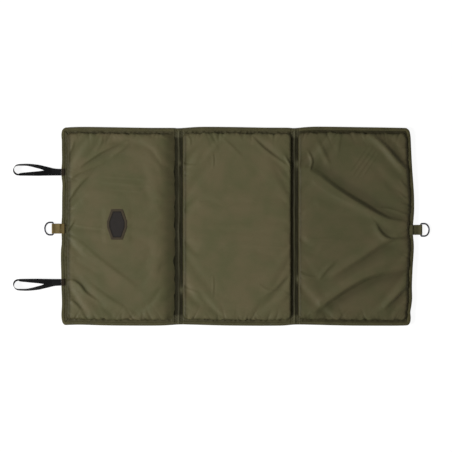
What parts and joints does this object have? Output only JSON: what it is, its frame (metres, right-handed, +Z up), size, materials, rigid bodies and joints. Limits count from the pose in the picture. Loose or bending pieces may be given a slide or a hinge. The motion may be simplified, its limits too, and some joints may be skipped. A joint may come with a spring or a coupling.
{
  "type": "unhooking mat",
  "caption": "Flat padded mat in three panels that fold over each other, with bound edges, elastic loops at one end and a webbing tab with a D-ring at both ends.",
  "frame": {"origin": "middle of the centre panel, on the plane that the open mat lies on", "axes": "+X along the mat to the end without elastic loops, +Y to its back edge, +Z up, out of the padded face"},
  "size_m": [1.2448, 0.59, 0.0214],
  "materials": {
    "top_fabric": "satin",
    "base_fabric": "matte",
    "foam": "matte",
    "binding_tape": "matte",
    "web_fabric": "matte",
    "elastic": "matte",
    "webbing": "matte",
    "ring_metal": "satin",
    "badge": "matte"
  },
  "bodies": {
    "middle": {"middle_top_cover": "top_fabric", "middle_foam_core": "foam", "middle_base_cover": "base_fabric", "middle_front_binding": "binding_tape", "middle_back_binding": "binding_tape"},
    "left_web": {"left_fold_web": "web_fabric", "left_fold_front_binding": "binding_tape", "left_fold_back_binding": "binding_tape"},
    "left_panel": {"left_top_cover": "top_fabric", "left_foam_core": "foam", "left_base_cover": "base_fabric", "left_edge_binding": "binding_tape", "badge": "badge", "upper_loop_sewn_end": "elastic", "lower_loop_sewn_end": "elastic", "left_tab_sewn_end": "webbing"},
    "upper_loop": {"upper_loop": "elastic"},
    "lower_loop": {"lower_loop": "elastic"},
    "left_tab": {"left_tab": "webbing"},
    "left_ring": {"left_d_ring": "ring_metal"},
    "right_web": {"right_fold_web": "web_fabric", "right_fold_front_binding": "binding_tape", "right_fold_back_binding": "binding_tape"},
    "right_panel": {"right_top_cover": "top_fabric", "right_foam_core": "foam", "right_base_cover": "base_fabric", "right_edge_binding": "binding_tape", "right_tab_sewn_end": "webbing"},
    "right_tab": {"right_tab": "webbing"},
    "right_ring": {"right_d_ring": "ring_metal"}
  },
  "joints": [
    {"name": "left_web_fold", "type": "hinge", "parent": "middle", "child": "left_web", "pos_m": [-0.163, 0, 0.0095], "axis": [0, 1, 0], "range_deg": [0, 88]},
    {"name": "left_fold", "type": "hinge", "parent": "left_web", "child": "left_panel", "pos_m": [-0.182, 0, 0.0095], "axis": [0, 1, 0], "range_deg": [0, 88]},
    {"name": "right_web_fold", "type": "hinge", "parent": "middle", "child": "right_web", "pos_m": [0.163, 0, 0.0095], "axis": [0, 1, 0], "range_deg": [-88, 0]},
    {"name": "right_fold", "type": "hinge", "parent": "right_web", "child": "right_panel", "pos_m": [0.182, 0, 0.0095], "axis": [0, 1, 0], "range_deg": [-88, 0]},
    {"name": "upper_loop_swing", "type": "hinge", "parent": "left_panel", "child": "upper_loop", "pos_m": [-0.52675, 0.161, 0.0105], "axis": [0, -1, 0], "range_deg": [-75, 75]},
    {"name": "lower_loop_swing", "type": "hinge", "parent": "left_panel", "child": "lower_loop", "pos_m": [-0.52675, -0.168, 0.0105], "axis": [0, -1, 0], "range_deg": [-75, 75]},
    {"name": "left_tab_flex", "type": "hinge", "parent": "left_panel", "child": "left_tab", "pos_m": [-0.52705, -0.0075, 0.0095], "axis": [0, -1, 0], "range_deg": [-85, 60]},
    {"name": "left_ring_swing", "type": "hinge", "parent": "left_tab", "child": "left_ring", "pos_m": [-0.54992, -0.0075, 0.0043], "axis": [0, -1, 0], "range_deg": [-95, 95]},
    {"name": "right_tab_flex", "type": "hinge", "parent": "right_panel", "child": "right_tab", "pos_m": [0.52705, -0.0112, 0.0095], "axis": [0, -1, 0], "range_deg": [-60, 85]},
    {"name": "right_ring_swing", "type": "hinge", "parent": "right_tab", "child": "right_ring", "pos_m": [0.54992, -0.0112, 0.0043], "axis": [0, -1, 0], "range_deg": [-95, 95]}
  ],
  "couplings": [
    {"joint": "left_fold", "follows": "left_web_fold", "ratio": 1},
    {"joint": "right_fold", "follows": "right_web_fold", "ratio": 1}
  ]
}
